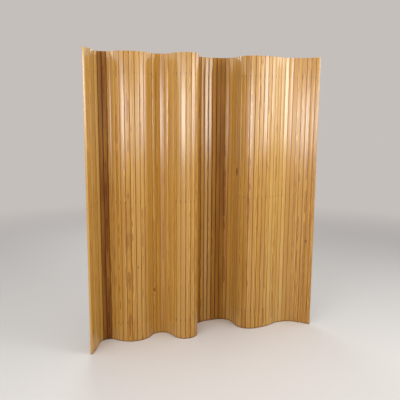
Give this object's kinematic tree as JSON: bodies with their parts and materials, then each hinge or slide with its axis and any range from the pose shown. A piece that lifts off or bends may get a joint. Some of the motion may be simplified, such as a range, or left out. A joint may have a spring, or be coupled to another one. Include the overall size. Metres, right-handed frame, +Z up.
{
  "type": "slatted wooden screen",
  "caption": "Flexible room screen of upright varnished pine slats, strung side by side on hidden steel cables so that each seam turns, standing in a wave.",
  "frame": {"origin": "middle of the screen's box in plan, on the floor that the slats stand on", "axes": "+X along the screen from its left end to its right end as the picture shows them, +Y away from the side that the picture shows, +Z up along the slats"},
  "size_m": [1.6616, 0.4588, 2],
  "materials": {
    "pine": "satin varnish",
    "steel": "drawn wire"
  },
  "bodies": {
    "leaf_01": {"slats_01_to_03": "pine", "left_cable_stops": "steel"},
    "leaf_02": {"slats_04_to_06": "pine"},
    "leaf_03": {"slat_07": "pine"},
    "leaf_04": {"slat_08": "pine"},
    "leaf_05": {"slat_09": "pine"},
    "leaf_06": {"slat_10": "pine"},
    "leaf_07": {"slat_11": "pine"},
    "leaf_08": {"slat_12": "pine"},
    "leaf_09": {"slat_13": "pine"},
    "leaf_10": {"slat_14": "pine"},
    "leaf_11": {"slat_15": "pine"},
    "leaf_12": {"slat_16": "pine"},
    "leaf_13": {"slat_17": "pine"},
    "leaf_14": {"slat_18": "pine"},
    "leaf_15": {"slats_19_to_20": "pine"},
    "leaf_16": {"slat_21": "pine"},
    "leaf_17": {"slat_22": "pine"},
    "leaf_18": {"slat_23": "pine"},
    "leaf_19": {"slat_24": "pine"},
    "leaf_20": {"slat_25": "pine"},
    "leaf_21": {"slats_26_to_27": "pine"},
    "leaf_22": {"slat_28": "pine"},
    "leaf_23": {"slat_29": "pine"},
    "leaf_24": {"slat_30": "pine"},
    "leaf_25": {"slat_31": "pine"},
    "leaf_26": {"slat_32": "pine"},
    "leaf_27": {"slat_33": "pine"},
    "leaf_28": {"slat_34": "pine"},
    "leaf_29": {"slats_35_to_36": "pine", "cable_bottom": "steel", "cable_top": "steel"},
    "leaf_30": {"slat_37": "pine"},
    "leaf_31": {"slat_38": "pine"},
    "leaf_32": {"slat_39": "pine"},
    "leaf_33": {"slat_40": "pine"},
    "leaf_34": {"slat_41": "pine"},
    "leaf_35": {"slats_42_to_43": "pine"},
    "leaf_36": {"slats_44_to_45": "pine"},
    "leaf_37": {"slat_46": "pine"},
    "leaf_38": {"slat_47": "pine"},
    "leaf_39": {"slat_48": "pine"},
    "leaf_40": {"slat_49": "pine"},
    "leaf_41": {"slat_50": "pine"},
    "leaf_42": {"slats_51_to_52": "pine"},
    "leaf_43": {"slat_53": "pine"},
    "leaf_44": {"slat_54": "pine"},
    "leaf_45": {"slat_55": "pine"},
    "leaf_46": {"slat_56": "pine"},
    "leaf_47": {"slats_57_to_58": "pine"},
    "leaf_48": {"slats_59_to_60": "pine"},
    "leaf_49": {"slats_61_to_62": "pine"},
    "leaf_50": {"slat_63": "pine"},
    "leaf_51": {"slat_64": "pine"},
    "leaf_52": {"slat_65": "pine"},
    "leaf_53": {"slat_66": "pine"},
    "leaf_54": {"slat_67": "pine"},
    "leaf_55": {"slats_68_to_69": "pine"},
    "leaf_56": {"slats_70_to_71": "pine", "right_cable_stops": "steel"}
  },
  "joints": [
    {"name": "hinge_03_04", "type": "hinge", "parent": "leaf_02", "child": "leaf_01", "pos_m": [-0.79153, -0.13509, 0], "axis": [0, 0, -1], "range_deg": [-36, 24], "deforming": ["cable_bottom", "cable_top"]},
    {"name": "hinge_06_07", "type": "hinge", "parent": "leaf_03", "child": "leaf_02", "pos_m": [-0.76758, -0.03903, 0], "axis": [0, 0, -1], "range_deg": [-5.5, 54.5], "deforming": ["cable_bottom", "cable_top"]},
    {"name": "hinge_07_08", "type": "hinge", "parent": "leaf_04", "child": "leaf_03", "pos_m": [-0.74703, -0.0132, 0], "axis": [0, 0, -1], "range_deg": [-5.5, 54.5], "deforming": ["cable_bottom", "cable_top"]},
    {"name": "hinge_08_09", "type": "hinge", "parent": "leaf_05", "child": "leaf_04", "pos_m": [-0.71763, 0.00178, 0], "axis": [0, 0, -1], "range_deg": [-5.5, 54.5], "deforming": ["cable_bottom", "cable_top"]},
    {"name": "hinge_09_10", "type": "hinge", "parent": "leaf_06", "child": "leaf_05", "pos_m": [-0.68466, 0.00322, 0], "axis": [0, 0, -1], "range_deg": [-5.5, 54.5], "deforming": ["cable_bottom", "cable_top"]},
    {"name": "hinge_10_11", "type": "hinge", "parent": "leaf_07", "child": "leaf_06", "pos_m": [-0.65406, -0.00915, 0], "axis": [0, 0, -1], "range_deg": [-5.5, 54.5], "deforming": ["cable_bottom", "cable_top"]},
    {"name": "hinge_11_12", "type": "hinge", "parent": "leaf_08", "child": "leaf_07", "pos_m": [-0.63135, -0.03308, 0], "axis": [0, 0, 1], "range_deg": [-18, 42], "deforming": ["cable_bottom", "cable_top"]},
    {"name": "hinge_12_13", "type": "hinge", "parent": "leaf_09", "child": "leaf_08", "pos_m": [-0.60415, -0.05177, 0], "axis": [0, 0, 1], "range_deg": [-18, 42], "deforming": ["cable_bottom", "cable_top"]},
    {"name": "hinge_13_14", "type": "hinge", "parent": "leaf_10", "child": "leaf_09", "pos_m": [-0.57366, -0.0644, 0], "axis": [0, 0, 1], "range_deg": [-18, 42], "deforming": ["cable_bottom", "cable_top"]},
    {"name": "hinge_14_15", "type": "hinge", "parent": "leaf_11", "child": "leaf_10", "pos_m": [-0.54122, -0.07042, 0], "axis": [0, 0, 1], "range_deg": [-18, 42], "deforming": ["cable_bottom", "cable_top"]},
    {"name": "hinge_15_16", "type": "hinge", "parent": "leaf_12", "child": "leaf_11", "pos_m": [-0.50823, -0.06955, 0], "axis": [0, 0, 1], "range_deg": [-18, 42], "deforming": ["cable_bottom", "cable_top"]},
    {"name": "hinge_16_17", "type": "hinge", "parent": "leaf_13", "child": "leaf_12", "pos_m": [-0.47614, -0.06185, 0], "axis": [0, 0, 1], "range_deg": [-18, 42], "deforming": ["cable_bottom", "cable_top"]},
    {"name": "hinge_17_18", "type": "hinge", "parent": "leaf_14", "child": "leaf_13", "pos_m": [-0.44635, -0.04764, 0], "axis": [0, 0, -1], "range_deg": [-42, 18], "deforming": ["cable_bottom", "cable_top"]},
    {"name": "hinge_18_19", "type": "hinge", "parent": "leaf_15", "child": "leaf_14", "pos_m": [-0.42017, -0.02755, 0], "axis": [0, 0, -1], "range_deg": [-49, 11], "deforming": ["cable_bottom", "cable_top"]},
    {"name": "hinge_20_21", "type": "hinge", "parent": "leaf_16", "child": "leaf_15", "pos_m": [-0.38375, 0.02748, 0], "axis": [0, 0, -1], "range_deg": [-7.5, 52.5], "deforming": ["cable_bottom", "cable_top"]},
    {"name": "hinge_21_22", "type": "hinge", "parent": "leaf_17", "child": "leaf_16", "pos_m": [-0.35639, 0.04594, 0], "axis": [0, 0, -1], "range_deg": [-7.5, 52.5], "deforming": ["cable_bottom", "cable_top"]},
    {"name": "hinge_22_23", "type": "hinge", "parent": "leaf_18", "child": "leaf_17", "pos_m": [-0.32405, 0.05252, 0], "axis": [0, 0, -1], "range_deg": [-7.5, 52.5], "deforming": ["cable_bottom", "cable_top"]},
    {"name": "hinge_23_24", "type": "hinge", "parent": "leaf_19", "child": "leaf_18", "pos_m": [-0.29166, 0.04622, 0], "axis": [0, 0, -1], "range_deg": [-7.5, 52.5], "deforming": ["cable_bottom", "cable_top"]},
    {"name": "hinge_24_25", "type": "hinge", "parent": "leaf_20", "child": "leaf_19", "pos_m": [-0.26414, 0.02801, 0], "axis": [0, 0, 1], "range_deg": [-52.5, 7.5], "deforming": ["cable_bottom", "cable_top"]},
    {"name": "hinge_25_26", "type": "hinge", "parent": "leaf_21", "child": "leaf_20", "pos_m": [-0.24568, 0.00065, 0], "axis": [0, 0, 1], "range_deg": [-41, 19], "deforming": ["cable_bottom", "cable_top"]},
    {"name": "hinge_27_28", "type": "hinge", "parent": "leaf_22", "child": "leaf_21", "pos_m": [-0.2199, -0.06011, 0], "axis": [0, 0, 1], "range_deg": [-7.5, 52.5], "deforming": ["cable_bottom", "cable_top"]},
    {"name": "hinge_28_29", "type": "hinge", "parent": "leaf_23", "child": "leaf_22", "pos_m": [-0.19636, -0.08324, 0], "axis": [0, 0, 1], "range_deg": [-7.5, 52.5], "deforming": ["cable_bottom", "cable_top"]},
    {"name": "hinge_29_30", "type": "hinge", "parent": "leaf_24", "child": "leaf_23", "pos_m": [-0.16576, -0.0956, 0], "axis": [0, 0, 1], "range_deg": [-7.5, 52.5], "deforming": ["cable_bottom", "cable_top"]},
    {"name": "hinge_30_31", "type": "hinge", "parent": "leaf_25", "child": "leaf_24", "pos_m": [-0.13276, -0.09531, 0], "axis": [0, 0, 1], "range_deg": [-7.5, 52.5], "deforming": ["cable_bottom", "cable_top"]},
    {"name": "hinge_31_32", "type": "hinge", "parent": "leaf_26", "child": "leaf_25", "pos_m": [-0.10239, -0.08242, 0], "axis": [0, 0, -1], "range_deg": [-52.5, 7.5], "deforming": ["cable_bottom", "cable_top"]},
    {"name": "hinge_32_33", "type": "hinge", "parent": "leaf_27", "child": "leaf_26", "pos_m": [-0.07926, -0.05888, 0], "axis": [0, 0, -1], "range_deg": [-52.5, 7.5], "deforming": ["cable_bottom", "cable_top"]},
    {"name": "hinge_33_34", "type": "hinge", "parent": "leaf_28", "child": "leaf_27", "pos_m": [-0.06689, -0.02828, 0], "axis": [0, 0, -1], "range_deg": [-52.5, 7.5], "deforming": ["cable_bottom", "cable_top"]},
    {"name": "hinge_34_35", "type": "hinge", "parent": "leaf_29", "child": "leaf_28", "pos_m": [-0.06718, 0.00472, 0], "axis": [0, 0, -1], "range_deg": [-33, 27], "deforming": ["cable_bottom", "cable_top"]},
    {"name": "hinge_36_37", "type": "hinge", "parent": "leaf_29", "child": "leaf_30", "pos_m": [-0.07121, 0.07059, 0], "axis": [0, 0, 1], "range_deg": [-16.5, 43.5], "deforming": ["cable_bottom", "cable_top"]},
    {"name": "hinge_37_38", "type": "hinge", "parent": "leaf_30", "child": "leaf_31", "pos_m": [-0.06548, 0.10309, 0], "axis": [0, 0, 1], "range_deg": [-16.5, 43.5], "deforming": ["cable_bottom", "cable_top"]},
    {"name": "hinge_38_39", "type": "hinge", "parent": "leaf_31", "child": "leaf_32", "pos_m": [-0.05232, 0.13336, 0], "axis": [0, 0, -1], "range_deg": [-43.5, 16.5], "deforming": ["cable_bottom", "cable_top"]},
    {"name": "hinge_39_40", "type": "hinge", "parent": "leaf_32", "child": "leaf_33", "pos_m": [-0.03246, 0.15971, 0], "axis": [0, 0, -1], "range_deg": [-43.5, 16.5], "deforming": ["cable_bottom", "cable_top"]},
    {"name": "hinge_40_41", "type": "hinge", "parent": "leaf_33", "child": "leaf_34", "pos_m": [-0.007, 0.1807, 0], "axis": [0, 0, -1], "range_deg": [-43.5, 16.5], "deforming": ["cable_bottom", "cable_top"]},
    {"name": "hinge_41_42", "type": "hinge", "parent": "leaf_34", "child": "leaf_35", "pos_m": [0.02266, 0.19517, 0], "axis": [0, 0, -1], "range_deg": [-39.5, 20.5], "deforming": ["cable_bottom", "cable_top"]},
    {"name": "hinge_43_44", "type": "hinge", "parent": "leaf_35", "child": "leaf_36", "pos_m": [0.08594, 0.21391, 0], "axis": [0, 0, -1], "range_deg": [-39.5, 20.5], "deforming": ["cable_bottom", "cable_top"]},
    {"name": "hinge_45_46", "type": "hinge", "parent": "leaf_36", "child": "leaf_37", "pos_m": [0.15145, 0.22196, 0], "axis": [0, 0, -1], "range_deg": [-47.5, 12.5], "deforming": ["cable_bottom", "cable_top"]},
    {"name": "hinge_46_47", "type": "hinge", "parent": "leaf_37", "child": "leaf_38", "pos_m": [0.1839, 0.21594, 0], "axis": [0, 0, 1], "range_deg": [-12.5, 47.5], "deforming": ["cable_bottom", "cable_top"]},
    {"name": "hinge_47_48", "type": "hinge", "parent": "leaf_38", "child": "leaf_39", "pos_m": [0.21304, 0.20045, 0], "axis": [0, 0, 1], "range_deg": [-12.5, 47.5], "deforming": ["cable_bottom", "cable_top"]},
    {"name": "hinge_48_49", "type": "hinge", "parent": "leaf_39", "child": "leaf_40", "pos_m": [0.23617, 0.17691, 0], "axis": [0, 0, 1], "range_deg": [-12.5, 47.5], "deforming": ["cable_bottom", "cable_top"]},
    {"name": "hinge_49_50", "type": "hinge", "parent": "leaf_40", "child": "leaf_41", "pos_m": [0.25115, 0.14751, 0], "axis": [0, 0, 1], "range_deg": [-12.5, 47.5], "deforming": ["cable_bottom", "cable_top"]},
    {"name": "hinge_50_51", "type": "hinge", "parent": "leaf_41", "child": "leaf_42", "pos_m": [0.25659, 0.11496, 0], "axis": [0, 0, 1], "range_deg": [-32.5, 27.5], "deforming": ["cable_bottom", "cable_top"]},
    {"name": "hinge_52_53", "type": "hinge", "parent": "leaf_42", "child": "leaf_43", "pos_m": [0.27032, 0.0504, 0], "axis": [0, 0, 1], "range_deg": [-49.5, 10.5], "deforming": ["cable_bottom", "cable_top"]},
    {"name": "hinge_53_54", "type": "hinge", "parent": "leaf_43", "child": "leaf_44", "pos_m": [0.28756, 0.02227, 0], "axis": [0, 0, -1], "range_deg": [-10.5, 49.5], "deforming": ["cable_bottom", "cable_top"]},
    {"name": "hinge_54_55", "type": "hinge", "parent": "leaf_44", "child": "leaf_45", "pos_m": [0.31321, 0.0015, 0], "axis": [0, 0, -1], "range_deg": [-10.5, 49.5], "deforming": ["cable_bottom", "cable_top"]},
    {"name": "hinge_55_56", "type": "hinge", "parent": "leaf_45", "child": "leaf_46", "pos_m": [0.34431, -0.00952, 0], "axis": [0, 0, -1], "range_deg": [-10.5, 49.5], "deforming": ["cable_bottom", "cable_top"]},
    {"name": "hinge_56_57", "type": "hinge", "parent": "leaf_46", "child": "leaf_47", "pos_m": [0.37731, -0.00952, 0], "axis": [0, 0, -1], "range_deg": [-19.5, 40.5], "deforming": ["cable_bottom", "cable_top"]},
    {"name": "hinge_58_59", "type": "hinge", "parent": "leaf_47", "child": "leaf_48", "pos_m": [0.44221, 0.00251, 0], "axis": [0, 0, -1], "range_deg": [-19.5, 40.5], "deforming": ["cable_bottom", "cable_top"]},
    {"name": "hinge_60_61", "type": "hinge", "parent": "leaf_48", "child": "leaf_49", "pos_m": [0.50382, 0.02616, 0], "axis": [0, 0, -1], "range_deg": [-19.5, 40.5], "deforming": ["cable_bottom", "cable_top"]},
    {"name": "hinge_62_63", "type": "hinge", "parent": "leaf_49", "child": "leaf_50", "pos_m": [0.5601, 0.06065, 0], "axis": [0, 0, 1], "range_deg": [-19.5, 40.5], "deforming": ["cable_bottom", "cable_top"]},
    {"name": "hinge_63_64", "type": "hinge", "parent": "leaf_50", "child": "leaf_51", "pos_m": [0.59091, 0.07247, 0], "axis": [0, 0, 1], "range_deg": [-19.5, 40.5], "deforming": ["cable_bottom", "cable_top"]},
    {"name": "hinge_64_65", "type": "hinge", "parent": "leaf_51", "child": "leaf_52", "pos_m": [0.62335, 0.07849, 0], "axis": [0, 0, 1], "range_deg": [-19.5, 40.5], "deforming": ["cable_bottom", "cable_top"]},
    {"name": "hinge_65_66", "type": "hinge", "parent": "leaf_52", "child": "leaf_53", "pos_m": [0.65635, 0.07849, 0], "axis": [0, 0, 1], "range_deg": [-19.5, 40.5], "deforming": ["cable_bottom", "cable_top"]},
    {"name": "hinge_66_67", "type": "hinge", "parent": "leaf_53", "child": "leaf_54", "pos_m": [0.6888, 0.07247, 0], "axis": [0, 0, 1], "range_deg": [-19.5, 40.5], "deforming": ["cable_bottom", "cable_top"]},
    {"name": "hinge_67_68", "type": "hinge", "parent": "leaf_54", "child": "leaf_55", "pos_m": [0.71961, 0.06065, 0], "axis": [0, 0, 1], "range_deg": [-21, 39], "deforming": ["cable_bottom", "cable_top"]},
    {"name": "hinge_69_70", "type": "hinge", "parent": "leaf_55", "child": "leaf_56", "pos_m": [0.77677, 0.02765, 0], "axis": [0, 0, -1], "range_deg": [-39, 21], "deforming": ["cable_bottom", "cable_top"]}
  ]
}
